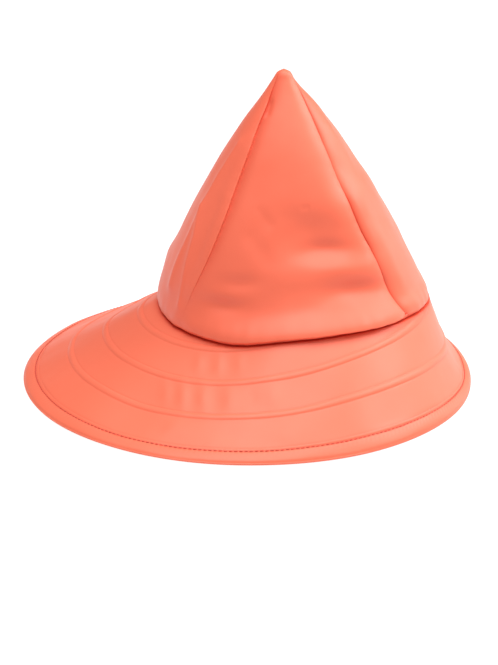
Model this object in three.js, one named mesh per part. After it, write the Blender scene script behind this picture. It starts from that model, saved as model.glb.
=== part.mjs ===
import * as THREE from "three";
import { mergeVertices } from "three/addons/utils/BufferGeometryUtils.js";

// Rain hat with a pointed crown of four panels and a wide sloping brim, longest at the back.
// Millimetres, +Z up, +X to the hat's front, standing on its rim at z = 0.
// Angles run counter-clockwise from the front seen from above: 90 left, 180 back, 270 right.

// Driving sizes
const RIM_HALF_LENGTH = 146.7;
const RIM_HALF_WIDTH = 152.5;
const EDGE_TOP = 1.8;
const SEAM_HALF_LENGTH = 88.5;
const SEAM_HALF_WIDTH = 85.5;
const SEAM_FORWARD = 29.5;
const SEAM_HEIGHT = 51;
const HAT_HEIGHT = 204;

// Cloth and clearances
const CLOTH = 2;
const HEM_THICKNESS = 3;
const HEM_WIDTH = 11.4;
const HEM_PROUD = 0.25;
const SOLE_INSET = 1.3;
const SOLE_WIDTH = 2.4;
const GAP = 0.3;

// Crown foot, rolled in over the brim's inner margin
const FOOT_TUCK = 2.4;
const FOOT_SHARE = 0.03;
const MARGIN_SPARE = 1.6;
const MARGIN = FOOT_TUCK + CLOTH + MARGIN_SPARE;

// Raised ribs on the brim, even steps in from the stitched hem
const FIRST_RIB = 35.5;
const RIB_STEP = 26;
const RIB_COUNT = 3;
const RIB_WIDTH = 4.6;
const RIB_HEIGHT = 0.7;
const RIB_SHOULDER = 1.2;
const LEAST_ROW = 1.5;

// Panel seams: the edges roll down into a shallow valley
const SEAM_VALLEY = 1;
const VALLEY_WIDTH = 2.4;
const LAP_HEIGHT = 0.7;

// Side panels flatter than the round of the crown, from their foot up to a share of the height
const PANEL_FLAT = 0.08;
const FLAT_SHARE = 0.3;

// Deepest dent in the crown's cloth
const DENT_DEPTH = 4;

// Ring round the hat: height of the crown seam, hollow of the brim's slope and reach of the rim, as shares
const RING = [
  { angle: 0, height: 1.037, hollow: 0.75, reach: 0.995 },
  { angle: 30, height: 1.09, hollow: 0.5, reach: 0.996 },
  { angle: 60, height: 1.1, hollow: 0.27, reach: 0.997 },
  { angle: 90, height: 1.02, hollow: 0.2, reach: 0.994 },
  { angle: 120, height: 0.94, hollow: 0.2, reach: 0.987 },
  { angle: 150, height: 0.92, hollow: 0.2, reach: 0.999 },
  { angle: 180, height: 0.976, hollow: 0.02, reach: 1.002 },
  { angle: 210, height: 0.934, hollow: 0.02, reach: 0.997 },
  { angle: 240, height: 0.918, hollow: 0.25, reach: 0.988 },
  { angle: 270, height: 1.04, hollow: 0.2, reach: 0.99 },
  { angle: 300, height: 1.095, hollow: -0.05, reach: 1.004 },
  { angle: 330, height: 1.082, hollow: 0.2, reach: 1.008 },
  { angle: 360, height: 1.037, hollow: 0.75, reach: 0.995 },
];

// Crown sections: share of the way up, half length and lean as shares of the seam's half length, squareness
const SECTIONS = [
  { up: 0, half: 0.992, lean: 0, square: 2.05 },
  { up: 0.05, half: 0.98, lean: -0.007, square: 2.1 },
  { up: 0.1, half: 0.949, lean: -0.021, square: 2.15 },
  { up: 0.2, half: 0.874, lean: -0.035, square: 2.25 },
  { up: 0.3, half: 0.791, lean: -0.041, square: 2.3 },
  { up: 0.4, half: 0.701, lean: -0.047, square: 2.35 },
  { up: 0.5, half: 0.609, lean: -0.051, square: 2.35 },
  { up: 0.6, half: 0.505, lean: -0.058, square: 2.3 },
  { up: 0.7, half: 0.397, lean: -0.058, square: 2.3 },
  { up: 0.8, half: 0.277, lean: -0.066, square: 2.25 },
  { up: 0.9, half: 0.148, lean: -0.071, square: 2.2 },
  { up: 0.96, half: 0.077, lean: -0.075, square: 2.1 },
  { up: 0.985, half: 0.0485, lean: -0.077, square: 2 },
  { up: 1, half: 0, lean: -0.078, square: 2 },
];

// Panel seams on the hat's right side, mirrored for the left
const PANEL_SEAMS = [
  { up: 0, backAngle: 214.5, frontAngle: 324 },
  { up: 0.08, backAngle: 217.5, frontAngle: 320.8 },
  { up: 0.2, backAngle: 222, frontAngle: 318 },
  { up: 0.3, backAngle: 225.3, frontAngle: 316.3 },
  { up: 0.4, backAngle: 227.5, frontAngle: 314.2 },
  { up: 0.5, backAngle: 228.5, frontAngle: 313.3 },
  { up: 0.7, backAngle: 228.7, frontAngle: 313.6 },
  { up: 0.8, backAngle: 227.5, frontAngle: 317.3 },
  { up: 0.86, backAngle: 226.5, frontAngle: 321.3 },
  { up: 0.92, backAngle: 222, frontAngle: 329 },
  { up: 1, backAngle: 216, frontAngle: 345 },
];

// Dents (out below 0) and soft folds in the crown: centre, half spans and depth as a share of the deepest
const DENTS = [
  { angle: 297, up: 0.315, wide: 14, tall: 0.03, out: -0.85 },
  { angle: 280, up: 0.375, wide: 12, tall: 0.04, out: -0.2 },
  { angle: 292, up: 0.235, wide: 20, tall: 0.035, out: 0.3 },
  { angle: 305, up: 0.15, wide: 18, tall: 0.036, out: -1 },
  { angle: 306, up: 0.04, wide: 24, tall: 0.04, out: 0.3 },
  { angle: 268, up: 0.035, wide: 48, tall: 0.045, out: 0.35 },
  { angle: 238.5, up: 0.14, wide: 10, tall: 0.032, out: -0.75 },
  { angle: 250, up: 0.27, wide: 12, tall: 0.03, out: -0.25 },
  { angle: 214, up: 0.17, wide: 4, tall: 0.08, out: -0.25 },
  { angle: 282, up: 0.482, wide: 4, tall: 0.012, out: -0.2 },
  { angle: 40, up: 0.2, wide: 20, tall: 0.05, out: -0.5 },
  { angle: 95, up: 0.16, wide: 24, tall: 0.045, out: -0.6 },
  { angle: 130, up: 0.36, wide: 18, tall: 0.05, out: -0.4 },
  { angle: 165, up: 0.2, wide: 16, tall: 0.05, out: 0.4 },
];

// Mesh steps: shares across a panel, up the crown and across the brim's underside
const PANEL_COLUMNS = [0, 0.012, 0.035, 0.09, 0.18, 0.3, 0.42, 0.5, 0.58, 0.7, 0.82, 0.91, 0.965, 0.988, 1];
const CROWN_ROWS = [
  0, 0.4 * FOOT_SHARE, FOOT_SHARE, 0.055, 0.09, 0.125, 0.16, 0.205, 0.25, 0.29, 0.335, 0.39,
  0.46, 0.53, 0.6, 0.67, 0.74, 0.8, 0.86, 0.91, 0.95, 0.975, 0.99, 1,
];
const BRIM_COLUMNS = 72;
const UNDER_SHARES = [0.78, 0.55, 0.33];

// Colours, sRGB
const CORAL = 0xff8061;
const PALE_CORAL = 0xff9070;

// A smooth curve through one column of a table, with no overshoot between rows
function smooth(table, key, column, value) {
  const x = table.map((row) => row[key]);
  const y = table.map((row) => row[column]);
  const last = x.length - 1;
  const step = (i) => (y[i + 1] - y[i]) / (x[i + 1] - x[i]);
  const slope = (i) => {
    if (i === 0 || i === last) return y[0] === y[last] ? 0 : step(i === 0 ? 0 : last - 1);
    const before = step(i - 1);
    const after = step(i);
    return before * after > 0 ? (2 * before * after) / (before + after) : 0;
  };
  const at = Math.min(Math.max(value, x[0]), x[last]);
  let i = 0;
  while (i < last - 1 && at > x[i + 1]) i += 1;
  const run = x[i + 1] - x[i];
  const t = (at - x[i]) / run;
  const rise = y[i] * (1 + 2 * t) * (1 - t) ** 2 + y[i + 1] * t * t * (3 - 2 * t);
  return rise + run * t * (1 - t) * (slope(i) * (1 - t) - slope(i + 1) * t);
}

const radians = (angle) => (angle * Math.PI) / 180;
const wrap = (angle) => ((angle % 360) + 360) % 360;
const turn = (from, to) => wrap(to - from + 180) - 180;
const around = (column, angle) => smooth(RING, "angle", column, wrap(angle));
const bell = (x) => Math.exp(-x * x);

const seamHeight = (angle) => SEAM_HEIGHT * around("height", angle);
const backRight = (up) => smooth(PANEL_SEAMS, "up", "backAngle", up);
const frontRight = (up) => smooth(PANEL_SEAMS, "up", "frontAngle", up);
const backLeft = (up) => 360 - backRight(up);
const frontLeft = (up) => 360 - frontRight(up);

function rimPoint(angle) {
  const reach = around("reach", angle);
  const a = radians(angle);
  const x = RIM_HALF_LENGTH * reach * Math.cos(a);
  const y = RIM_HALF_WIDTH * reach * Math.sin(a);
  return new THREE.Vector3(x, y, EDGE_TOP);
}

function seamPoint(angle) {
  const a = radians(angle);
  return new THREE.Vector3(
    SEAM_FORWARD + SEAM_HALF_LENGTH * Math.cos(a),
    SEAM_HALF_WIDTH * Math.sin(a),
    seamHeight(angle),
  );
}

// The brim's width at an angle, square to the rim
function brimWidth(angle) {
  const a = radians(angle);
  const along = new THREE.Vector3(-RIM_HALF_LENGTH * Math.sin(a), RIM_HALF_WIDTH * Math.cos(a), 0);
  along.normalize();
  const slope = seamPoint(angle).sub(rimPoint(angle));
  const slant = slope.dot(along);
  return Math.sqrt(slope.lengthSq() - slant * slant);
}

// The brim's smooth upper face, at a distance in from the rim
function brimPoint(angle, inward) {
  const rim = rimPoint(angle);
  const seam = seamPoint(angle);
  const share = inward / brimWidth(angle);
  const rise = share - around("hollow", angle) * share * (1 - share);
  const point = rim.clone().lerp(seam, share);
  point.z = rim.z + (seam.z - rim.z) * rise;
  return point;
}

const halfAt = (up) => SEAM_HALF_LENGTH * smooth(SECTIONS, "up", "half", up);

// The smooth crown, at an angle and a share of the way up
function crownPoint(angle, up) {
  const lean = SEAM_HALF_LENGTH * smooth(SECTIONS, "up", "lean", up);
  const square = smooth(SECTIONS, "up", "square", up);
  const narrow = SEAM_HALF_WIDTH / SEAM_HALF_LENGTH;
  const ratio = narrow + (1 - narrow) * up;
  const c = Math.cos(radians(angle));
  const s = Math.sin(radians(angle));
  const swell = (Math.abs(c) ** square + Math.abs(s) ** square) ** (-1 / square);
  const foot = Math.max(0, 1 - up / FOOT_SHARE);
  const out = halfAt(up) * (swell - flatness(angle, up)) - FOOT_TUCK * foot * foot + dents(angle, up);
  return new THREE.Vector3(
    SEAM_FORWARD + lean + out * c,
    out * ratio * s,
    GAP + (1 - up) * seamHeight(angle) + up * (HAT_HEIGHT - GAP),
  );
}

// How much flatter a side panel is, most in its middle and nothing at its seams
function flatness(angle, up) {
  const low = backRight(up);
  const high = frontRight(up);
  const middle = (low + high) / 2;
  const away = Math.min(Math.abs(turn(middle, angle)), Math.abs(turn(360 - middle, angle)));
  const t = away / ((high - low) / 2);
  const rise = Math.min(1, up / FLAT_SHARE);
  return PANEL_FLAT * rise * rise * (3 - 2 * rise) * Math.max(0, 1 - t * t);
}

function dents(angle, up) {
  const fade = Math.min(1, up / FOOT_SHARE);
  const total = DENTS.reduce(
    (sum, d) => sum + d.out * DENT_DEPTH * bell(turn(d.angle, angle) / d.wide) * bell((up - d.up) / d.tall),
    0,
  );
  return fade * total;
}

// Outward normal of a smooth face, from two small steps on it
function normalOf(face, u, v, du, dv) {
  const side = face(u + du, v).sub(face(u - du, v));
  const rise = face(u, v + dv).sub(face(u, v - dv));
  return side.cross(rise).normalize();
}

// A closed body through rings of points; open runs of rings are capped across the ring
function ringBody(rings, closed) {
  const count = rings[0].length;
  const position = rings.flat().flatMap((p) => [p.x, p.y, p.z]);
  const index = [];
  const quad = (a, b, c, d) => index.push(a, b, c, a, c, d);
  const spans = closed ? rings.length : rings.length - 1;
  for (let r = 0; r < spans; r += 1) {
    const here = r * count;
    const next = ((r + 1) % rings.length) * count;
    for (let j = 0; j < count; j += 1) {
      const k = (j + 1) % count;
      quad(here + j, here + k, next + k, next + j);
    }
  }
  if (!closed) {
    const top = (rings.length - 1) * count;
    for (let j = 0; j < count / 2 - 1; j += 1) {
      quad(j, count - 1 - j, count - 2 - j, j + 1);
      quad(top + j, top + j + 1, top + count - 2 - j, top + count - 1 - j);
    }
  }
  return weld(position, index);
}

// Shares equal points, drops empty triangles and turns the faces outward
function weld(position, index) {
  const raw = new THREE.BufferGeometry();
  raw.setAttribute("position", new THREE.Float32BufferAttribute(position, 3));
  raw.setIndex(index);
  const geometry = mergeVertices(raw, 1e-4);
  const old = Array.from(geometry.index.array);
  const kept = [];
  for (let i = 0; i < old.length; i += 3) {
    const [a, b, c] = old.slice(i, i + 3);
    if (a !== b && b !== c && c !== a) kept.push(a, b, c);
  }
  const corner = (i) => new THREE.Vector3().fromBufferAttribute(geometry.attributes.position, i);
  let volume = 0;
  for (let i = 0; i < kept.length; i += 3) {
    volume += corner(kept[i]).dot(corner(kept[i + 1]).cross(corner(kept[i + 2])));
  }
  if (volume < 0) kept.reverse();
  geometry.setIndex(kept);
  geometry.computeVertexNormals();
  return geometry;
}

// One crown panel between two seam curves, moved out a little so that its neighbours stay clear
function panel(startAngle, endAngle, middle, lapAtStart, lapAtEnd) {
  const rings = CROWN_ROWS.map((up) => {
    const start = startAngle(up);
    const span = wrap(endAngle(up) - start);
    const outer = [];
    const inner = [];
    for (const share of PANEL_COLUMNS) {
      const angle = start + span * share;
      const arc = radians(span) * halfAt(up);
      const lift = edgeLift(arc * share, lapAtStart) + edgeLift(arc * (1 - share), lapAtEnd);
      outer.push(panelOuter(angle, up, lift));
      inner.push(panelInner(angle, up));
    }
    return [...outer, ...inner.reverse()];
  });
  const geometry = ringBody(rings, false);
  const shift = GAP / Math.SQRT2;
  geometry.translate(shift * Math.cos(radians(middle)), shift * Math.sin(radians(middle)), 0);
  return geometry;
}

// Edges flatten out toward the tip and the foot
function panelOuter(angle, up, lift) {
  if (up === 1) return crownPoint(angle, up);
  const fade = Math.min(1, (1 - up) / 0.1) * Math.min(1, up / FOOT_SHARE);
  return crownPoint(angle, up).addScaledVector(crownNormal(angle, up), fade * lift);
}

// A seam edge rolls down, or stands proud where the panel laps over its neighbour
function edgeLift(distance, lap) {
  return (lap ? LAP_HEIGHT : -SEAM_VALLEY) * bell(distance / VALLEY_WIDTH);
}

const crownNormal = (angle, up) => {
  const at = Math.min(Math.max(up, 0.004), 0.988);
  return normalOf(crownPoint, angle, at, 0.5, 0.003);
};

function panelInner(angle, up) {
  if (up === 1) return crownPoint(angle, 1).add(new THREE.Vector3(0, 0, -1.4 * CLOTH));
  return crownPoint(angle, up).addScaledVector(crownNormal(angle, up), -CLOTH);
}

// Rows across the brim: the foot and the shoulder on each side of every rib, and one midway to the next
function ribRows() {
  const rows = [{ inward: FIRST_RIB - RIB_STEP / 2, lift: 0 }];
  for (let i = 0; i < RIB_COUNT; i += 1) {
    const centre = FIRST_RIB + i * RIB_STEP;
    rows.push({ inward: centre + RIB_STEP / 2, lift: 0 });
    for (const side of [-1, 1]) {
      rows.push({ inward: centre + side * (RIB_WIDTH / 2), lift: 0 });
      rows.push({ inward: centre + side * (RIB_WIDTH / 2 - RIB_SHOULDER), lift: RIB_HEIGHT });
    }
  }
  return rows.sort((a, b) => a.inward - b.inward);
}

function brimNormal(angle, inward) {
  return normalOf(brimPoint, angle, inward, 1, 0.5);
}

// The margin under the crown's foot lies flat, inward of the seam
function marginPoint(angle, drop) {
  const point = seamPoint(angle);
  const inward = new THREE.Vector3(SEAM_FORWARD - point.x, -point.y, 0).setLength(MARGIN);
  point.add(inward);
  point.z -= drop;
  return point;
}

function brimSheet() {
  const start = HEM_WIDTH + GAP;
  const upper = [{ inward: start, lift: 0 }, ...ribRows()];
  const rings = [];
  for (let i = 0; i < BRIM_COLUMNS; i += 1) {
    const angle = (360 * i) / BRIM_COLUMNS;
    const width = brimWidth(angle);
    const place = (inward, lift) => {
      const held = inward > width - LEAST_ROW;
      const at = held ? width : inward;
      return brimPoint(angle, at).addScaledVector(brimNormal(angle, at), held ? 0 : lift);
    };
    const under = (at) => brimPoint(angle, at).addScaledVector(brimNormal(angle, at), -CLOTH);
    const ring = upper.map((row) => place(row.inward, row.lift));
    ring.push(place(width, 0), marginPoint(angle, 0), marginPoint(angle, CLOTH));
    ring.push(under(width));
    UNDER_SHARES.forEach((share) => ring.push(under(start + share * (width - start))));
    ring.push(under(start));
    rings.push(ring);
  }
  return ringBody(rings, true);
}

// The hem: a doubled edge with a rounded lip and a flat sole all round
function hemBand() {
  const rings = [];
  for (let i = 0; i < BRIM_COLUMNS; i += 1) {
    const angle = (360 * i) / BRIM_COLUMNS;
    const face = (inward, lift) => brimPoint(angle, inward).addScaledVector(brimNormal(angle, inward), lift);
    rings.push([
      face(HEM_WIDTH, 0),
      face(0.6 * HEM_WIDTH, HEM_PROUD),
      face(0.2 * HEM_WIDTH, HEM_PROUD),
      brimPoint(angle, 0.05 * HEM_WIDTH),
      solePoint(angle, 0, 0.5 * EDGE_TOP),
      solePoint(angle, 0.4 * SOLE_INSET, 0.15 * EDGE_TOP),
      solePoint(angle, SOLE_INSET, 0),
      solePoint(angle, SOLE_INSET + SOLE_WIDTH, 0),
      face(HEM_WIDTH, -HEM_THICKNESS),
    ]);
  }
  return ringBody(rings, true);
}

// A point of the rim's underside, a level distance in from the edge
function solePoint(angle, inset, height) {
  const rim = rimPoint(angle);
  const inward = seamPoint(angle).sub(rim).setZ(0).setLength(inset);
  return rim.add(inward).setZ(height);
}

function cloth(name, geometry, color, roughness) {
  const mesh = new THREE.Mesh(geometry, new THREE.MeshStandardMaterial({ color, roughness, metalness: 0 }));
  mesh.name = name;
  return mesh;
}

const hat = new THREE.Group();
hat.add(cloth("crown_panel_right", panel(backRight, frontRight, 270, false, true), CORAL, 0.5));
hat.add(cloth("crown_panel_front", panel(frontRight, frontLeft, 0, false, false), CORAL, 0.5));
hat.add(cloth("crown_panel_left", panel(frontLeft, backLeft, 90, true, false), CORAL, 0.5));
hat.add(cloth("crown_panel_back", panel(backLeft, backRight, 180, false, false), CORAL, 0.5));
hat.add(cloth("brim", brimSheet(), PALE_CORAL, 0.5));
hat.add(cloth("brim_hem", hemBand(), PALE_CORAL, 0.5));

// The origin is the middle of the rim's box
const middle = new THREE.Box3().setFromObject(hat).getCenter(new THREE.Vector3());
hat.position.set(-middle.x, -middle.y, 0);

const part = new THREE.Group();
part.add(hat);

export default part;
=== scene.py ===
import math

import bpy
import numpy as np
from mathutils import Matrix, Vector


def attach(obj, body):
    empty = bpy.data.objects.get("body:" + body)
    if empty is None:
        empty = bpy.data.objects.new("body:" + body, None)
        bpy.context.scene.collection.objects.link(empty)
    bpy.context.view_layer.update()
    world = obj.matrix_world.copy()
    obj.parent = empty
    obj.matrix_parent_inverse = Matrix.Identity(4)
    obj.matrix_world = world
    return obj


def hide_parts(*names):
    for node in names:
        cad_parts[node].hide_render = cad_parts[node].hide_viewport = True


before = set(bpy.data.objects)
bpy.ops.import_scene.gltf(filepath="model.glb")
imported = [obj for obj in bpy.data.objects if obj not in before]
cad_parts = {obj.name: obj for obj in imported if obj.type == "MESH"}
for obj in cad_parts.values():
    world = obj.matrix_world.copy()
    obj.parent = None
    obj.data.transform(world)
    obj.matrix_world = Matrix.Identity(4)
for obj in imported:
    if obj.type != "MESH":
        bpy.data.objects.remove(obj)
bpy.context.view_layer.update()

# Sizes of the hat, in millimetres, the same as the solids'
RIM_HALF_LENGTH = 146.7
RIM_HALF_WIDTH = 152.5
EDGE_TOP = 1.8
SEAM_HALF_LENGTH = 88.5
SEAM_HALF_WIDTH = 85.5
SEAM_FORWARD = 29.5
SEAM_HEIGHT = 51.0
HAT_HEIGHT = 204.0
CLOTH = 2.0
HEM_THICKNESS = 3.0
HEM_WIDTH = 11.4
SOLE_INSET = 1.3
SOLE_WIDTH = 2.4
GAP = 0.3
FOOT_TUCK = 2.4
FOOT_SHARE = 0.02
MARGIN = 6.0
FIRST_RIB = 35.5
RIB_STEP = 26.0
RIB_COUNT = 3
RIB_WIDTH = 4.6
RIB_HEIGHT = 0.7
DENT_DEPTH = 4.0
PANEL_FLAT = 0.1
FLAT_SHARE = 0.3

# Panel seams: how deep the cloth rolls down, the front panel's further drop and the swell beside it, the
# depth of the tuck, the swell and the drop of the lap over it, and the height of the puckers
SEAM_ROLL = 2.5
UNDER_DROP = 0.4
UNDER_SWELL = 0.6
TUCK_DEPTH = 1.5
LAP_SWELL = 0.3
LAP_DROP = 0.5
PUCKER = 0.06

# Hem: rise above the brim's face, round of its middle, sewn groove, puckers, roll at the edge and lip
HEM_RISE = 0.14
HEM_ROUND = 0.35
HEM_GROOVE = 0.4
HEM_PUCKER = 0.05
HEM_ROLL = 0.9
HEM_LIP = 0.12

# Sewing
STITCH_LINE = 9.1
STITCH_PITCH = 3.1
STITCH_STEPS = 9
THREAD = 0.24
THREAD_SIDES = 7

# Relief of the cloth: soft unevenness over long and short waves, and small gathers at the crown's foot
LONG_SWELL = 0.2
SHORT_SWELL = 0.035
BRIM_LONG_SWELL = 0.16
BRIM_SHORT_SWELL = 0.02
HEM_SWELL = 0.08
GATHER = 0.1
RIB_SHARE = 0.7
RIB_GROOVE = 0.16

# Steps of the meshes: columns of a panel and of the brim's underside, degrees between rows, and the reach
# and the step of the fine columns across a rib
PANEL_COLUMNS = 117
BRIM_UNDER_COLUMNS = 27
BRIM_ROW = 0.6
HEM_ROW = 0.25
RIB_REACH = 4.2
RIB_FINE = 0.42

# Rows of a panel: from and to as shares of the height, count
PANEL_ROWS = [
    (0, 0.04, 19),
    (0.04, 0.9, 122),
    (0.9, 0.985, 19),
    (0.985, 0.9995, 9),
]

# Round the hat: angle, height of the crown seam, hollow of the brim's slope, reach of the rim (shares)
RING = np.array([
    (0, 1.037, 0.75, 0.995),
    (30, 1.09, 0.5, 0.996),
    (60, 1.1, 0.27, 0.997),
    (90, 1.02, 0.2, 0.994),
    (120, 0.94, 0.2, 0.987),
    (150, 0.92, 0.2, 0.999),
    (180, 0.976, 0.02, 1.002),
    (210, 0.934, 0.02, 0.997),
    (240, 0.918, 0.25, 0.988),
    (270, 1.04, 0.2, 0.99),
    (300, 1.095, -0.05, 1.004),
    (330, 1.082, 0.2, 1.008),
    (360, 1.037, 0.75, 0.995),
])

# Up the crown: share of the height, half length, lean, squareness
SECTIONS = np.array([
    (0, 0.992, 0, 2.05),
    (0.05, 0.98, -0.007, 2.1),
    (0.1, 0.949, -0.021, 2.15),
    (0.2, 0.874, -0.035, 2.25),
    (0.3, 0.791, -0.041, 2.3),
    (0.4, 0.701, -0.047, 2.35),
    (0.5, 0.609, -0.051, 2.35),
    (0.6, 0.505, -0.058, 2.3),
    (0.7, 0.397, -0.058, 2.3),
    (0.8, 0.277, -0.066, 2.25),
    (0.9, 0.148, -0.071, 2.2),
    (0.96, 0.077, -0.075, 2.1),
    (0.985, 0.0485, -0.077, 2),
    (1, 0, -0.078, 2),
])

# Panel seams on the right side: share of the height, back seam's angle, front seam's angle
PANEL_SEAMS = np.array([
    (0, 214.5, 324),
    (0.08, 217.5, 320.8),
    (0.2, 222, 318),
    (0.3, 225.3, 316.3),
    (0.4, 227.5, 314.2),
    (0.5, 228.5, 313.3),
    (0.7, 228.7, 313.6),
    (0.8, 227.5, 317.3),
    (0.86, 226.5, 321.3),
    (0.92, 222, 329),
    (1, 216, 345),
])

# Dents and soft folds: angle, share of the height, half spans, depth as a share of the deepest
DENTS = [
    (288, 0.37, 24, 0.085, -1.15),
    (291, 0.315, 15, 0.036, -1.05),
    (297, 0.25, 11, 0.03, 0.25),
    (302, 0.155, 15, 0.04, -1.05),
    (272, 0.1, 56, 0.05, -0.8),
    (300, 0.02, 26, 0.06, 0.55),
    (268, 0.018, 54, 0.05, 0.7),
    (275, 0.165, 44, 0.06, -0.75),
    (237, 0.14, 10, 0.03, -0.65),
    (244, 0.23, 10, 0.03, -0.4),
    (214, 0.17, 4, 0.08, -0.25),
    (40, 0.2, 20, 0.05, -0.5),
    (95, 0.16, 24, 0.045, -0.6),
    (130, 0.36, 18, 0.05, -0.4),
    (165, 0.2, 16, 0.05, 0.4),
]

# Fine creases in the crown: points (angle, share of the height), half width and height, sharpness
CREASES = [
    ([(212, 0.72), (206, 0.585), (205, 0.5), (204.5, 0.4), (203.8, 0.31), (203, 0.23), (203, 0.15)],
     5, 1.9, 0.9),
    ([(205, 0.468), (210.5, 0.365), (212, 0.268), (213, 0.19), (213.5, 0.1)], 4.5, 2, 0.9),
    ([(218, 0.5), (219, 0.35), (219, 0.22)], 5, -0.7, 0.1),
    ([(252, 0.44), (262, 0.47), (272, 0.46), (283, 0.43)], 7, -0.45, 0.1),
    ([(246, 0.4), (252, 0.36), (257, 0.31)], 5, -0.5, 0.1),
    ([(296, 0.6), (300, 0.52), (303, 0.44)], 6, 0.3, 0.1),
    ([(322, 0.62), (327, 0.5), (331, 0.36)], 7, -0.5, 0.2),
    ([(326, 0.72), (334, 0.66)], 5, -0.4, 0.1),
    ([(280.5, 0.488), (283.5, 0.49)], 1.5, -0.35, 0.2),
    ([(249, 0.5), (253, 0.47), (258, 0.44)], 3, -0.35, 0.2),
    ([(233, 0.88), (235, 0.845)], 1.8, -0.9, 0.1),
    ([(45, 0.5), (50, 0.3), (40, 0.15)], 6, 0.9, 0.3),
    ([(100, 0.4), (92, 0.32), (82, 0.3)], 5, -0.9, 0.2),
    ([(140, 0.6), (134, 0.4), (138, 0.22)], 6, 1, 0.5),
]

# How deep the front panel dips beside its seams: share of the height, share of the deepest
SEAM_DIP = np.array([
    (0, 0.2),
    (0.07, 0.35),
    (0.2, 0.5),
    (0.27, 0.55),
    (0.34, 0.95),
    (0.49, 1),
    (0.55, 0.6),
    (0.6, 0.3),
    (0.68, 0.35),
    (0.76, 0.8),
    (0.86, 1),
    (0.93, 0.6),
    (1, 0.2),
])

# Soft ripples in the brim: angle, distance in from the rim, half span along the hat's length, half span
# inward, height
RIPPLES = [
    (234.5, 50, 3.6, 9, 0.4),
    (240.5, 50, 3.8, 10, 0.6),
    (247.4, 50, 4.2, 10, 0.65),
    (255.8, 49, 5, 10, 0.6),
    (263, 48, 3.5, 8, -0.3),
    (269.4, 48, 5, 9, 0.6),
    (236, 76, 3, 8, 0.35),
    (243.7, 76, 3.2, 8, 0.5),
    (251.5, 76, 3.4, 7, 0.35),
    (247, 24, 9, 6, 0.45),
    (262, 22, 8, 6, -0.45),
    (276, 20, 10, 6, 0.4),
    (60, 50, 16, 14, 0.5),
    (100, 45, 12, 14, -0.5),
    (128, 55, 16, 16, 0.6),
    (150, 50, 12, 14, -0.4),
]


def smooth(table, column, value):
    """A curve through one column of a table, with no overshoot between its rows."""
    x, y = table[:, 0], table[:, column]
    run = np.diff(x)
    step = np.diff(y) / run
    slope = np.zeros(len(x))
    before, after = step[:-1], step[1:]
    both = before * after > 0
    slope[1:-1] = np.where(both, 2 * before * after / np.where(both, before + after, 1), 0)
    if y[0] != y[-1]:
        slope[0], slope[-1] = step[0], step[-1]
    at = np.clip(value, x[0], x[-1])
    i = np.clip(np.searchsorted(x, at, side="right") - 1, 0, len(x) - 2)
    t = (at - x[i]) / run[i]
    rise = y[i] * (1 + 2 * t) * (1 - t) ** 2 + y[i + 1] * t * t * (3 - 2 * t)
    return rise + run[i] * t * (1 - t) * (slope[i] * (1 - t) - slope[i + 1] * t)


def bell(x):
    return np.exp(-np.square(x))


def turn(a, b):
    return (b - a + 180) % 360 - 180


def vec(x, y, z):
    return np.stack(np.broadcast_arrays(x, y, z), -1)


def unit(v):
    return v / np.linalg.norm(v, axis=-1, keepdims=True)


def ring(column, angle):
    return smooth(RING, column, np.mod(angle, 360))


def rim_point(angle):
    a = np.radians(angle)
    reach = ring(3, angle)
    return vec(RIM_HALF_LENGTH * reach * np.cos(a), RIM_HALF_WIDTH * reach * np.sin(a), EDGE_TOP)


def seam_point(angle):
    a = np.radians(angle)
    x = SEAM_FORWARD + SEAM_HALF_LENGTH * np.cos(a)
    return vec(x, SEAM_HALF_WIDTH * np.sin(a), SEAM_HEIGHT * ring(1, angle))


def brim_width(angle):
    """The brim's width, square to the rim."""
    a = np.radians(angle)
    along = unit(vec(-RIM_HALF_LENGTH * np.sin(a), RIM_HALF_WIDTH * np.cos(a), 0 * a))
    slope = seam_point(angle) - rim_point(angle)
    slant = (slope * along).sum(-1)
    return np.sqrt((slope ** 2).sum(-1) - slant ** 2)


def brim_point(angle, inward):
    """The brim's smooth upper face, at a distance in from the rim."""
    rim, seam = rim_point(angle), seam_point(angle)
    share = inward / brim_width(angle)
    rise = share - ring(2, angle) * share * (1 - share)
    point = rim + (seam - rim) * share[..., None]
    point[..., 2] = rim[..., 2] + (seam[..., 2] - rim[..., 2]) * rise
    return point


def normal_of(face, u, v, du, dv):
    side = face(u + du, v) - face(u - du, v)
    rise = face(u, v + dv) - face(u, v - dv)
    return unit(np.cross(side, rise))


def half_at(up):
    return SEAM_HALF_LENGTH * smooth(SECTIONS, 1, up)


def flatness(angle, up):
    """The side panels are flatter than the crown's round, and meet the others at an edge."""
    low, high = smooth(PANEL_SEAMS, 1, up), smooth(PANEL_SEAMS, 2, up)
    middle, reach = (low + high) / 2, (high - low) / 2
    t = np.minimum(np.abs(turn(middle, angle)), np.abs(turn(360 - middle, angle))) / reach
    rise = np.minimum(1, up / FLAT_SHARE)
    return PANEL_FLAT * rise * rise * (3 - 2 * rise) * np.maximum(0, 1 - t * t)


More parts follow.
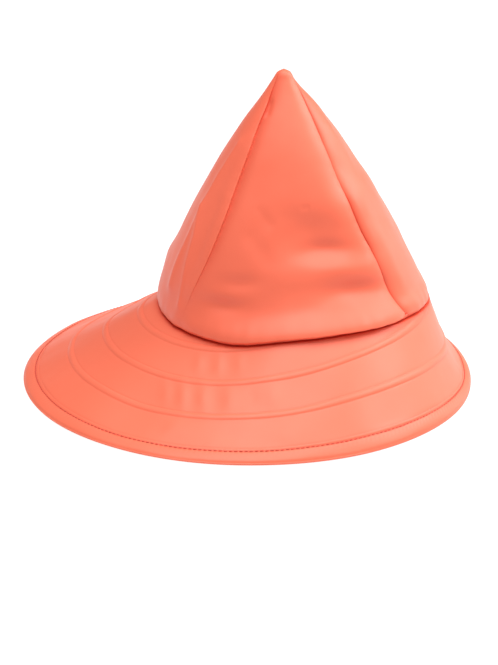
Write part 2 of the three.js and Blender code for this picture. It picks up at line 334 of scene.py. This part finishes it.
def crown_point(angle, up):
    """The smooth crown, at an angle and a share of the way up."""
    lean = SEAM_HALF_LENGTH * smooth(SECTIONS, 2, up)
    square = smooth(SECTIONS, 3, up)
    narrow = SEAM_HALF_WIDTH / SEAM_HALF_LENGTH
    ratio = narrow + (1 - narrow) * up
    c, s = np.cos(np.radians(angle)), np.sin(np.radians(angle))
    swell = (np.abs(c) ** square + np.abs(s) ** square) ** (-1 / square)
    foot = np.maximum(0, 1 - up / FOOT_SHARE)
    dent = 0.0
    for middle, level, wide, high, depth in DENTS:
        dent = dent + depth * DENT_DEPTH * bell(turn(middle, angle) / wide) * bell((up - level) / high)
    out = half_at(up) * (swell - flatness(angle, up)) - FOOT_TUCK * foot * foot
    out = out + dent * np.minimum(1, up / FOOT_SHARE)
    height = GAP + (1 - up) * SEAM_HEIGHT * ring(1, angle) + up * (HAT_HEIGHT - GAP)
    return vec(SEAM_FORWARD + lean + out * c, out * ratio * s, height)


def crown_normal(angle, up):
    return normal_of(crown_point, angle, np.clip(up, 0.004, 0.988), 0.5, 0.003)


# The middle of the rim's box is the origin
outline = rim_point(np.arange(0, 360, 5.0))[:, :2]
MIDDLE = np.array([*(outline.max(0) + outline.min(0)) / 2, 0.0])

rng = np.random.default_rng(11)


def waves(count, shortest, longest):
    """A fixed set of long waves in space, for soft unevenness."""
    direction = unit(rng.normal(size=(count, 3)))
    length = rng.uniform(shortest, longest, count)
    return direction * (2 * np.pi / length)[:, None], rng.uniform(0, 2 * np.pi, count)


def unevenness(points, field):
    total = np.zeros(points.shape[:-1])
    for k, p in zip(*field):
        total += np.sin(points @ k + p)
    return total / math.sqrt(len(field[1]) / 2)


LONG = waves(14, 28, 70)
SHORT = waves(18, 9, 20)


def polyline_distance(x, y, points):
    best = np.full(np.shape(x), 1e9)
    for (x0, y0), (x1, y1) in zip(points[:-1], points[1:]):
        dx, dy = x1 - x0, y1 - y0
        t = np.clip(((x - x0) * dx + (y - y0) * dy) / (dx * dx + dy * dy), 0, 1)
        best = np.minimum(best, np.hypot(x - x0 - t * dx, y - y0 - t * dy))
    return best


def crown_relief(angle, up):
    """Creases and soft unevenness of the crown's cloth, along its normal."""
    total = 0.0
    slant = HAT_HEIGHT - SEAM_HEIGHT
    radius = half_at(up)
    for points, width, height, sharp in CREASES:
        centre = points[len(points) // 2][0]
        x = np.radians(turn(centre, angle)) * radius
        line = [
            (math.radians(turn(centre, a)) * float(half_at(np.array(level))), level * slant)
            for a, level in points
        ]
        d = polyline_distance(x, up * slant + 0 * x, line) / width
        total = total + height * ((1 - sharp) * bell(d) + sharp * np.exp(-1.6 * np.sqrt(d * d + 0.03)))
    base = crown_point(angle, up)
    total = total + LONG_SWELL * unevenness(base, LONG) + SHORT_SWELL * unevenness(base, SHORT)
    return total * np.minimum(1, (1 - up) / 0.12)


def foot_gathers(angle, up):
    """Small gathers where the crown is sewn to the brim."""
    arc = np.radians(angle) * SEAM_HALF_LENGTH
    ripple = np.sin(arc * 0.52 + 1.7 * np.sin(arc * 0.083)) + 0.6 * np.sin(arc * 0.29 + 2)
    return GATHER * ripple * bell((up - 0.03) / 0.045)


def seam_lift(distance, up, kind):
    """Lift beside a panel seam. A roll curves down to it, its neighbour dips under it in places; a lap
    lies over a soft tuck."""
    along = up * (HAT_HEIGHT - SEAM_HEIGHT)
    pucker = PUCKER * np.sin(along * 0.95 + 1.3 * np.sin(along * 0.21)) * bell(distance / 4.5)
    narrow = np.minimum(1, half_at(up) / 35)
    ramp = np.clip((up - 0.1) / 0.4, 0, 1)
    if kind == "roll":
        return narrow * (pucker - SEAM_ROLL * np.exp(-distance / 5))
    if kind == "under":
        dip = smooth(SEAM_DIP, 1, up)
        fall = np.exp(-distance / (6.5 - 3.5 * dip))
        return narrow * (UNDER_SWELL * dip * bell((distance - 13) / 6) - (SEAM_ROLL + UNDER_DROP) * fall)
    if kind == "tuck":
        return narrow * (pucker - TUCK_DEPTH * ramp * bell(distance / 5.5))
    drop = LAP_DROP * ramp * np.exp(-distance / 1.2)
    return narrow * (pucker + LAP_SWELL * bell((distance - 5) / 4) - drop)


def seam_shade(distance, up, kind):
    """Painted shade beside a seam, 0 to 1, darker the deeper the point lies in the seam's crease."""
    if kind == "roll":
        return 0.5 * np.exp(-distance / 0.35)
    if kind == "under":
        dip = smooth(SEAM_DIP, 1, up)
        return (0.6 + 0.3 * dip) * np.exp(-distance / 0.7) + 0.4 * dip * np.exp(-distance / 3)
    if kind == "tuck":
        high = np.clip((up - 0.72) / 0.12, 0, 1)
        soft = np.clip((up - 0.12) / 0.25, 0, 1)
        return 0.7 * high * np.exp(-distance / 0.8) + (0.02 + 0.36 * soft) * bell(distance / 4.5)
    return 0 * distance


def make_mesh(name, points, faces, uv, marks, materials, painted_shade):
    mesh = bpy.data.meshes.new(name)
    mesh.from_pydata(((points - MIDDLE) / 1000).tolist(), [], faces)
    for material in materials:
        mesh.materials.append(material)
    mesh.polygons.foreach_set("material_index", marks)
    mesh.polygons.foreach_set("use_smooth", [True] * len(faces))
    corners = np.zeros(len(mesh.loops), np.int64)
    mesh.loops.foreach_get("vertex_index", corners)
    layer = mesh.uv_layers.new(name="UVMap")
    layer.data.foreach_set("uv", (uv[corners] / 1000).astype(np.float32).ravel())
    # Painted shade per point, which the material turns into darker colour and less gloss
    shade = mesh.attributes.new("painted_shade", "FLOAT", "POINT")
    shade.data.foreach_set("value", painted_shade.astype(np.float32).ravel())
    mesh.update()
    mesh.set_sharp_from_angle(angle=math.radians(50))
    piece = bpy.data.objects.new(name, mesh)
    bpy.context.scene.collection.objects.link(piece)
    return piece


def ring_faces(rows, count, closed):
    """Quads through rows of rings, and the caps of an open run."""
    spans = rows if closed else rows - 1
    r = np.arange(spans)[:, None]
    n = (r + 1) % rows
    j = np.arange(count)[None]
    k = (j + 1) % count
    quads = np.stack(np.broadcast_arrays(r * count + j, r * count + k, n * count + k, n * count + j), -1)
    faces = quads.reshape(-1, 4).tolist()
    if not closed:
        top = (rows - 1) * count
        for j in range(count // 2 - 1):
            faces.append([j, count - 1 - j, count - 2 - j, j + 1])
            faces.append([top + j, top + j + 1, top + count - 2 - j, top + count - 1 - j])
    return faces


def panel_piece(name, start_of, end_of, middle, start_kind, end_kind, materials):
    """One crown panel: a closed skin with rolled edges."""
    t = np.linspace(0, 1, PANEL_COLUMNS)
    share = (0.45 * t + 0.275 * (1 - np.cos(np.pi * t)))[None]
    up = np.unique(np.concatenate([np.linspace(*row) for row in PANEL_ROWS]))[:, None]
    start = start_of(up)
    span = np.mod(end_of(up) - start, 360)
    angle = start + span * share
    level = up + 0 * share
    arc = np.radians(span) * half_at(up)
    along = up * (HAT_HEIGHT - SEAM_HEIGHT)
    lift = seam_lift(arc * share, up, start_kind) + seam_lift(arc * (1 - share), up, end_kind)
    fade = np.minimum(1, (1 - up) / 0.04) * np.minimum(1, up / FOOT_SHARE)
    normal = crown_normal(angle, level)
    relief = fade * lift + crown_relief(angle, level) * np.minimum(1, up / FOOT_SHARE)
    relief = relief + foot_gathers(angle, level)
    outer = crown_point(angle, level) + normal * relief[..., None]
    inner = outer - CLOTH * normal
    inner[..., 2] -= 0.5 * CLOTH * np.maximum(0, (level - 0.97) / 0.03)
    shift = 0.1 * GAP
    move = np.array([shift * math.cos(math.radians(middle)), shift * math.sin(math.radians(middle)), 0])
    points = np.concatenate([outer, inner[:, ::-1]], 1) + move
    rows, count = points.shape[:2]
    u = arc * (share - 0.5)
    v = 1.12 * along + 0 * share
    uv = np.stack([np.concatenate([u, u[:, ::-1]], 1), np.concatenate([v, v], 1)], -1)
    faces = ring_faces(rows, count, False)
    column = np.array([f[0] % count for f in faces])
    marks = ((column >= count // 2) & (column < count - 1)).astype(int)
    # Painted shade beside the seams, fading out near the tip, and at the crown's foot over the brim
    painted_shade = seam_shade(arc * share, up, start_kind) + seam_shade(arc * (1 - share), up, end_kind)
    painted_shade = painted_shade * np.clip((1 - up) / 0.1, 0, 1)
    painted_shade = np.maximum(painted_shade, 0.5 * np.maximum(0, 1 - up / 0.02))
    painted_shade = np.concatenate([painted_shade, 0 * painted_shade], 1)
    points, uv = points.reshape(-1, 3), uv.reshape(-1, 2)
    return make_mesh(name, points, faces, uv, marks.tolist(), materials, painted_shade)


def brim_normal(angle, inward):
    return normal_of(brim_point, angle, inward, 1, 0.5)


def brim_relief(angle, inward):
    """Ribs with a thin sewn groove on each side, ripples and soft unevenness."""
    total = np.zeros(np.broadcast(angle, inward).shape)
    for i in range(RIB_COUNT):
        d = np.abs(inward - FIRST_RIB - i * RIB_STEP)
        edge = RIB_WIDTH / 2
        total += RIB_SHARE * RIB_HEIGHT / (1 + np.exp((d - edge + 0.7) / 0.4))
        total -= RIB_GROOVE * bell((d - edge - 0.1) / 0.6)
    base = brim_point(angle, inward)
    for a, at, wide, deep, out in RIPPLES:
        middle = brim_point(np.array([float(a)]), np.array([float(at)]))[0]
        side = bell((base[..., 0] - middle[0]) / wide) * (base[..., 1] * middle[1] > 0)
        total += out * side * bell((inward - at) / deep)
    return total + BRIM_LONG_SWELL * unevenness(base, LONG) + BRIM_SHORT_SWELL * unevenness(base, SHORT)


def brim_piece(materials):
    angle = np.arange(0, 360, BRIM_ROW)[:, None]
    start = HEM_WIDTH + 0.1 * GAP
    stops = [start]
    for i in range(RIB_COUNT):
        centre = FIRST_RIB + i * RIB_STEP
        stops += list(np.arange(-RIB_REACH, RIB_REACH + 0.01, RIB_FINE) + centre)
    gaps = [np.linspace(start, FIRST_RIB - RIB_REACH, 12)[1:-1]]
    for i in range(RIB_COUNT):
        low = FIRST_RIB + i * RIB_STEP + RIB_REACH
        gaps.append(np.linspace(low, low + RIB_STEP - 2 * RIB_REACH, 11)[1:-1])
    stops = np.unique(np.round(np.concatenate([stops, *gaps]), 3))
    width = brim_width(angle)
    count = len(stops)
    inward = np.minimum(stops[None], width - 0.012 * (count - 1 - np.arange(count))[None])
    free = np.clip((width - inward) / 1.5, 0, 1) * np.clip((inward - start + 0.6) / 2, 0, 1)
    normal = brim_normal(angle, inward)
    relief = brim_relief(angle, inward)
    top = brim_point(angle, inward) + normal * (relief * free)[..., None]
    seam = seam_point(angle)
    to_middle = np.array([SEAM_FORWARD, 0, 0]) - seam
    to_middle[..., 2] = 0
    margin = seam + unit(to_middle) * MARGIN
    share = np.linspace(1, 0, BRIM_UNDER_COLUMNS)[None]
    below_at = start + share * (width - start)
    below = brim_point(angle, below_at)
    soft = BRIM_LONG_SWELL * unevenness(below, LONG)
    below = below + brim_normal(angle, below_at) * (soft - CLOTH)[..., None]
    drop = np.array([0, 0, -CLOTH])
    points = np.concatenate([top, margin, margin + drop, below], 1)
    rows, size = points.shape[:2]
    arc = np.radians(angle) * RIM_HALF_WIDTH
    across = np.concatenate([inward, width + MARGIN, width + MARGIN + CLOTH, below_at], 1)
    uv = np.stack([arc + 0 * across, across], -1)
    faces = ring_faces(rows, size, True)
    column = np.array([f[0] % size for f in faces])
    marks = ((column > count) & (column < size - 1)).astype(int)
    # Painted shade under the crown's foot, at the hem's join, beside the ribs' grooves, and full on the
    # margin under the crown
    painted_shade = 0.35 * np.exp(-np.maximum(0, width - inward - 0.5) / 1.2)
    painted_shade = painted_shade + 0.12 * bell((inward - start) / 0.4)
    for i in range(RIB_COUNT):
        d = np.abs(inward - FIRST_RIB - i * RIB_STEP) - RIB_WIDTH / 2
        painted_shade = painted_shade + 0.08 * bell(d / 0.6)
    painted_shade = np.concatenate([np.minimum(painted_shade, 1), np.ones((rows, 2)), np.zeros(below_at.shape)], 1)
    points, uv = points.reshape(-1, 3), uv.reshape(-1, 2)
    return make_mesh("brim_sheet", points, faces, uv, marks.tolist(), materials, painted_shade)


def stitch_count():
    a = np.linspace(0, 360, 1441)
    line = brim_point(a, STITCH_LINE + 0 * a)
    length = np.linalg.norm(np.diff(line, axis=0), axis=-1).sum()
    return int(round(length / STITCH_PITCH)), a, line


def hem_relief(angle, inward, phase):
    """The doubled edge: a soft swell, a sewn groove that is tighter at each stitch, small puckers."""
    swell = HEM_ROUND * bell((inward - 4.6) / 3.6)
    tight = 0.8 + 0.2 * np.cos(phase)
    groove = -HEM_GROOVE * tight * bell((inward - STITCH_LINE) / 0.75)
    pucker = HEM_PUCKER * np.cos(phase) * bell((inward - STITCH_LINE + 1.6) / 2)
    roll = -HEM_ROLL * np.square(np.maximum(0, 1 - inward / 2.2))
    lip = -HEM_LIP * np.square(np.maximum(0, 1 - (HEM_WIDTH - inward) / 0.6))
    return HEM_RISE + swell + groove + pucker + roll + lip


def stitch_phase(angle):
    """Runs through a whole turn from one stitch hole to the next."""
    count, a, line = stitch_count()
    run = np.concatenate([[0], np.cumsum(np.linalg.norm(np.diff(line, axis=0), axis=-1))])
    return np.interp(angle, a, run / run[-1]) * count * 2 * np.pi


def sole_point(angle, inset, height):
    rim = rim_point(angle)
    inward = seam_point(angle) - rim
    inward[..., 2] = 0
    point = rim + unit(inward) * inset
    point[..., 2] = height
    return point


def hem_piece(materials):
    angle = np.arange(0, 360, HEM_ROW)[:, None]
    phase = stitch_phase(angle)
    inward = np.concatenate([
        np.linspace(HEM_WIDTH, HEM_WIDTH - 0.9, 4),
        np.linspace(STITCH_LINE + 1.2, STITCH_LINE - 1.2, 9),
        np.linspace(STITCH_LINE - 2, 2.6, 8),
        [1.9, 1.3, 0.8, 0.4],
    ])[None]
    normal = brim_normal(angle, inward)
    relief = hem_relief(angle, inward, phase)
    soft = HEM_SWELL * unevenness(brim_point(angle, inward), LONG) * np.clip(inward / 3, 0, 1)
    top = brim_point(angle, inward) + normal * (relief + soft)[..., None]
    lip = [sole_point(angle, 0.02, 0.75 * EDGE_TOP), sole_point(angle, 0.05, 0.45 * EDGE_TOP)]
    lip += [sole_point(angle, 0.35 * SOLE_INSET, 0.16 * EDGE_TOP), sole_point(angle, SOLE_INSET, 0.0)]
    lip.append(sole_point(angle, SOLE_INSET + SOLE_WIDTH, 0.0))
    under_at = np.linspace(6, HEM_WIDTH, 4)[None]
    under = brim_point(angle, under_at) - HEM_THICKNESS * brim_normal(angle, under_at)
    under[..., 2] = np.maximum(under[..., 2], 0.05)
    points = np.concatenate([top, *lip, under], 1)
    rows, size = points.shape[:2]
    arc = np.radians(angle) * RIM_HALF_WIDTH
    across = np.concatenate([inward[0], [0, -1, -2, -3, -5], -under_at[0]])[None]
    uv = np.stack([arc + 0 * across, across + 0 * arc], -1)
    faces = ring_faces(rows, size, True)
    # Painted shade in the sewn groove and where the hem meets the brim
    painted_shade = 0.2 * bell((inward - STITCH_LINE) / 0.5) + 0.12 * np.exp(-(HEM_WIDTH - inward) / 0.3)
    painted_shade = np.concatenate([painted_shade + 0 * arc, np.zeros((rows, size - inward.shape[1]))], 1)
    marks = [0] * len(faces)
    points, uv = points.reshape(-1, 3), uv.reshape(-1, 2)
    return make_mesh("hem_band", points, faces, uv, marks, materials, painted_shade)


def stitches_piece(materials):
    """The hem's row of lock stitches: short threads whose ends dive into the cloth."""
    count, a, line = stitch_count()
    phase = stitch_phase(a)
    points, faces, uv = [], [], []
    t = np.linspace(-1, 1, STITCH_STEPS)
    for i in range(count):
        centre = np.interp((i + 0.5) * 2 * np.pi, phase, a)
        pitch = np.interp((i + 1) * 2 * np.pi, phase, a) - np.interp(i * 2 * np.pi, phase, a)
        angle = centre + 0.39 * pitch * t + rng.normal(0, 0.01)
        slant = 0.1 * t + rng.normal(0, 0.04)
        inward = STITCH_LINE + slant
        normal = brim_normal(angle, inward)
        relief = hem_relief(angle, inward, stitch_phase(angle))
        rise = 0.06 + 0.32 * (1 - t ** 4) - 0.25 * t ** 8
        path = brim_point(angle, inward) + normal * (relief + rise)[:, None]
        tangent = unit(np.gradient(path, axis=0))
        side = unit(np.cross(tangent, normal))
        girth = THREAD * (1 - 0.55 * t ** 6)
        base = len(points)
        for p in range(STITCH_STEPS):
            for s in range(THREAD_SIDES):
                round_at = 2 * math.pi * s / THREAD_SIDES
                outward = math.cos(round_at) * side[p] + math.sin(round_at) * normal[p]
                points.append(path[p] + girth[p] * outward)
                uv.append((i * STITCH_PITCH + t[p], s * 0.2))
        for p in range(STITCH_STEPS - 1):
            for s in range(THREAD_SIDES):
                n = (s + 1) % THREAD_SIDES
                row, after = base + p * THREAD_SIDES, base + (p + 1) * THREAD_SIDES
                faces.append([row + s, row + n, after + n, after + s])
        last = base + (STITCH_STEPS - 1) * THREAD_SIDES
        faces.append([base + s for s in reversed(range(THREAD_SIDES))])
        faces.append([last + s for s in range(THREAD_SIDES)])
    points = np.array(points)
    painted_shade = np.zeros(len(points))
    return make_mesh("hem_stitches", points, faces, np.array(uv), [0] * len(faces), materials, painted_shade)


# The coat: the colour that its painted crease shade darkens toward, and its gloss, which fades out in the
# painted shade
CREASE_SHADE_COLOUR = (0.68, 0.045, 0.022)
COAT_GLOSS = 0.45


def node_set(material):
    """The shader of a material, a way to add a node with its values, and a way to link sockets."""
    nodes, links = material.node_tree.nodes, material.node_tree.links
    shader = nodes["Principled BSDF"]

    def add(kind, **values):
        node = nodes.new(kind)
        for key, value in values.items():
            if hasattr(node, key):
                setattr(node, key, value)
            else:
                node.inputs[key].default_value = value
        return node

    return shader, add, links.new


def coated_cloth(name, colour, deep, rough):
    """Cloth with a soft rubbery coat: slow colour drift, satin gloss, a very fine grain, and painted
    shade in its creases.
    """
    material = bpy.data.materials.new(name)
    material.use_nodes = True
    shader, add, link = node_set(material)
    place = add("ShaderNodeTexCoord")
    drift = add("ShaderNodeTexNoise", Scale=16.0, Detail=3.0, Roughness=0.5)
    link(place.outputs["Object"], drift.inputs["Vector"])
    ramp = add("ShaderNodeValToRGB")
    ramp.color_ramp.elements[0].position = 0.3
    ramp.color_ramp.elements[0].color = (*deep, 1)
    ramp.color_ramp.elements[1].position = 0.7
    ramp.color_ramp.elements[1].color = (*colour, 1)
    link(drift.outputs["Fac"], ramp.inputs["Fac"])
    # Painted shade: the point attribute darkens the colour toward the crease shade colour and fades the
    # gloss, in seams, creases and at the crown's foot
    painted_shade = add("ShaderNodeAttribute", attribute_name="painted_shade")
    shade_mix = add("ShaderNodeMix", data_type="RGBA", blend_type="MIX")
    link(painted_shade.outputs["Fac"], shade_mix.inputs["Factor"])
    link(ramp.outputs["Color"], shade_mix.inputs[6])
    shade_mix.inputs[7].default_value = (*CREASE_SHADE_COLOUR, 1)
    link(shade_mix.outputs[2], shader.inputs["Base Color"])
    dull = add("ShaderNodeMapRange")
    dull.inputs["To Min"].default_value = COAT_GLOSS
    dull.inputs["To Max"].default_value = 0.0
    link(painted_shade.outputs["Fac"], dull.inputs["Value"])
    link(dull.outputs["Result"], shader.inputs["Specular IOR Level"])
    patch = add("ShaderNodeTexNoise", Scale=42.0, Detail=4.0, Roughness=0.6)
    link(place.outputs["Object"], patch.inputs["Vector"])
    gloss = add("ShaderNodeMapRange")
    gloss.inputs["From Min"].default_value = 0.3
    gloss.inputs["From Max"].default_value = 0.7
    gloss.inputs["To Min"].default_value = rough - 0.03
    gloss.inputs["To Max"].default_value = rough + 0.04
    link(patch.outputs["Fac"], gloss.inputs["Value"])
    link(gloss.outputs["Result"], shader.inputs["Roughness"])
    fine = add("ShaderNodeTexNoise", Scale=2300.0, Detail=2.0, Roughness=0.55)
    link(place.outputs["Object"], fine.inputs["Vector"])
    skin = add("ShaderNodeTexNoise", Scale=260.0, Detail=2.0, Roughness=0.5)
    link(place.outputs["Object"], skin.inputs["Vector"])
    first = add("ShaderNodeBump", Strength=0.12, Distance=0.00012)
    link(skin.outputs["Fac"], first.inputs["Height"])
    second = add("ShaderNodeBump", Strength=0.25, Distance=0.00004)
    link(fine.outputs["Fac"], second.inputs["Height"])
    link(first.outputs["Normal"], second.inputs["Normal"])
    link(second.outputs["Normal"], shader.inputs["Normal"])
    shader.inputs["IOR"].default_value = 1.42
    return material


def knit_back(name, colour, deep):
    """The uncoated inner side: a fine knit in rows."""
    material = bpy.data.materials.new(name)
    material.use_nodes = True
    shader, add, link = node_set(material)
    place = add("ShaderNodeTexCoord")
    wale = add("ShaderNodeTexWave", wave_type="BANDS", bands_direction="X", Scale=260.0, Distortion=0.4)
    course = add("ShaderNodeTexWave", wave_type="BANDS", bands_direction="Y", Scale=200.0, Distortion=0.6)
    link(place.outputs["UV"], wale.inputs["Vector"])
    link(place.outputs["UV"], course.inputs["Vector"])
    loops = add("ShaderNodeMath", operation="MULTIPLY")
    link(wale.outputs["Fac"], loops.inputs[0])
    link(course.outputs["Fac"], loops.inputs[1])
    ramp = add("ShaderNodeValToRGB")
    ramp.color_ramp.elements[0].color = (*deep, 1)
    ramp.color_ramp.elements[1].color = (*colour, 1)
    link(loops.outputs["Value"], ramp.inputs["Fac"])
    link(ramp.outputs["Color"], shader.inputs["Base Color"])
    bump = add("ShaderNodeBump", Strength=0.5, Distance=0.0002)
    link(loops.outputs["Value"], bump.inputs["Height"])
    link(bump.outputs["Normal"], shader.inputs["Normal"])
    shader.inputs["Roughness"].default_value = 0.85
    shader.inputs["Sheen Weight"].default_value = 0.3
    return material


def thread_material(name, colour, deep):
    """Twisted sewing thread."""
    material = bpy.data.materials.new(name)
    material.use_nodes = True
    shader, add, link = node_set(material)
    place = add("ShaderNodeTexCoord")
    twist = add("ShaderNodeTexWave", wave_type="BANDS", bands_direction="DIAGONAL")
    twist.inputs["Scale"].default_value = 900.0
    twist.inputs["Distortion"].default_value = 0.3
    link(place.outputs["UV"], twist.inputs["Vector"])
    ramp = add("ShaderNodeValToRGB")
    ramp.color_ramp.elements[0].color = (*deep, 1)
    ramp.color_ramp.elements[1].color = (*colour, 1)
    link(twist.outputs["Fac"], ramp.inputs["Fac"])
    link(ramp.outputs["Color"], shader.inputs["Base Color"])
    bump = add("ShaderNodeBump", Strength=0.4, Distance=0.00008)
    link(twist.outputs["Fac"], bump.inputs["Height"])
    link(bump.outputs["Normal"], shader.inputs["Normal"])
    shader.inputs["Roughness"].default_value = 0.6
    return material


def back_right(up):
    return smooth(PANEL_SEAMS, 1, up)


def front_right(up):
    return smooth(PANEL_SEAMS, 2, up)


def back_left(up):
    return 360 - back_right(up)


def front_left(up):
    return 360 - front_right(up)


# The brim's cloth is a little lighter than the crown's: painted light, making up for lamp light that the
# crown's shadow takes from the brim
crown_cloth = coated_cloth("coated_cloth_crown", (0.96, 0.183, 0.102), (0.95, 0.174, 0.096), 0.42)
brim_cloth = coated_cloth("coated_cloth_brim_painted_light", (0.96, 0.19, 0.105), (0.95, 0.182, 0.099), 0.42)
inside = knit_back("knit_inside", (0.8, 0.2, 0.12), (0.55, 0.1, 0.06))
thread = thread_material("hem_thread", (0.78, 0.095, 0.06), (0.62, 0.07, 0.045))

pieces = [
    (panel_piece("crown_gore_right", back_right, front_right, 270, "tuck", "roll", [crown_cloth, inside]),
     "crown_panel_right", "crown_cloth"),
    (panel_piece("crown_gore_front", front_right, front_left, 0, "under", "under", [crown_cloth, inside]),
     "crown_panel_front", "crown_cloth"),
    (panel_piece("crown_gore_left", front_left, back_left, 90, "roll", "tuck", [crown_cloth, inside]),
     "crown_panel_left", "crown_cloth"),
    (panel_piece("crown_gore_back", back_left, back_right, 180, "lap", "lap", [crown_cloth, inside]),
     "crown_panel_back", "crown_cloth"),
    (brim_piece([brim_cloth, inside]), "brim", "brim_cloth"),
    (hem_piece([brim_cloth]), "brim_hem", "brim_cloth"),
    (stitches_piece([thread]), None, "brim_cloth"),
]
for piece, node, slot in pieces:
    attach(piece, "root")
    if node:
        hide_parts(node)


# The floor, the light and the camera, in metres
FLOOR_HALF = 30.0
FLOOR_DROP = 0.0004
WORLD_LIGHT = 0.17

# Lights: name, place, aim, size, watts
LIGHTS = [
    ("key_light", (1.7, 0.2, 1.75), (0.02, 0, 0.08), 1.5, 47),
    ("top_light", (-0.1, -0.35, 2.35), (0, 0, 0), 2.0, 57),
    ("right_light", (1.9, 1.2, 0.6), (0, 0, 0.08), 1.3, 9),
]


def floor_piece():
    mesh = bpy.data.meshes.new("floor")
    half = FLOOR_HALF
    corners = [(-half, -half, 0), (half, -half, 0), (half, half, 0), (-half, half, 0)]
    mesh.from_pydata(corners, [], [(0, 1, 2, 3)])
    material = bpy.data.materials.new("floor_white")
    material.use_nodes = True
    shader = material.node_tree.nodes["Principled BSDF"]
    shader.inputs["Base Color"].default_value = (0.15, 0.15, 0.15, 1)
    shader.inputs["Roughness"].default_value = 0.9
    shader.inputs["Emission Color"].default_value = (1, 1, 1, 1)
    shader.inputs["Emission Strength"].default_value = 0.95
    mesh.materials.append(material)
    floor = bpy.data.objects.new("floor", mesh)
    floor.location = (0, 0, -FLOOR_DROP)
    bpy.context.scene.collection.objects.link(floor)


def area_light(name, place, aim, size, power):
    data = bpy.data.lights.new(name, "AREA")
    data.shape = "SQUARE"
    data.size = size
    data.energy = power
    light = bpy.data.objects.new(name, data)
    light.location = place
    light.rotation_euler = (Vector(aim) - Vector(place)).to_track_quat("-Z", "Y").to_euler()
    bpy.context.scene.collection.objects.link(light)


floor_piece()
for light in LIGHTS:
    area_light(*light)

world = bpy.data.worlds.new("studio")
world.use_nodes = True
world.node_tree.nodes["Background"].inputs["Color"].default_value = (1, 1, 1, 1)
world.node_tree.nodes["Background"].inputs["Strength"].default_value = WORLD_LIGHT
bpy.context.scene.world = world
bpy.context.scene.view_settings.view_transform = "Standard"

# The camera: angle above the floor, distance and aim in millimetres, focal length and frame in pixels
ELEVATION = math.radians(20.83)
DISTANCE = 1400.0
FOCAL = 2139.58
FRAME_HEIGHT = 665
AIM = (0.79, 0.0, 27.4)


def camera_piece():
    right = Vector((1, 0, 0))
    back = Vector((0, -math.cos(ELEVATION), math.sin(ELEVATION)))
    up = back.cross(right)
    data = bpy.data.cameras.new("camera")
    data.sensor_width = 36
    data.lens = FOCAL * 36 / FRAME_HEIGHT
    data.clip_end = 50
    camera = bpy.data.objects.new("camera", data)
    place = (Vector(AIM) + back * DISTANCE - Vector(MIDDLE)) / 1000
    axes = Matrix((right, up, back)).transposed().to_4x4()
    camera.matrix_world = Matrix.Translation(place) @ axes
    bpy.context.scene.collection.objects.link(camera)
    bpy.context.scene.camera = camera


camera_piece()
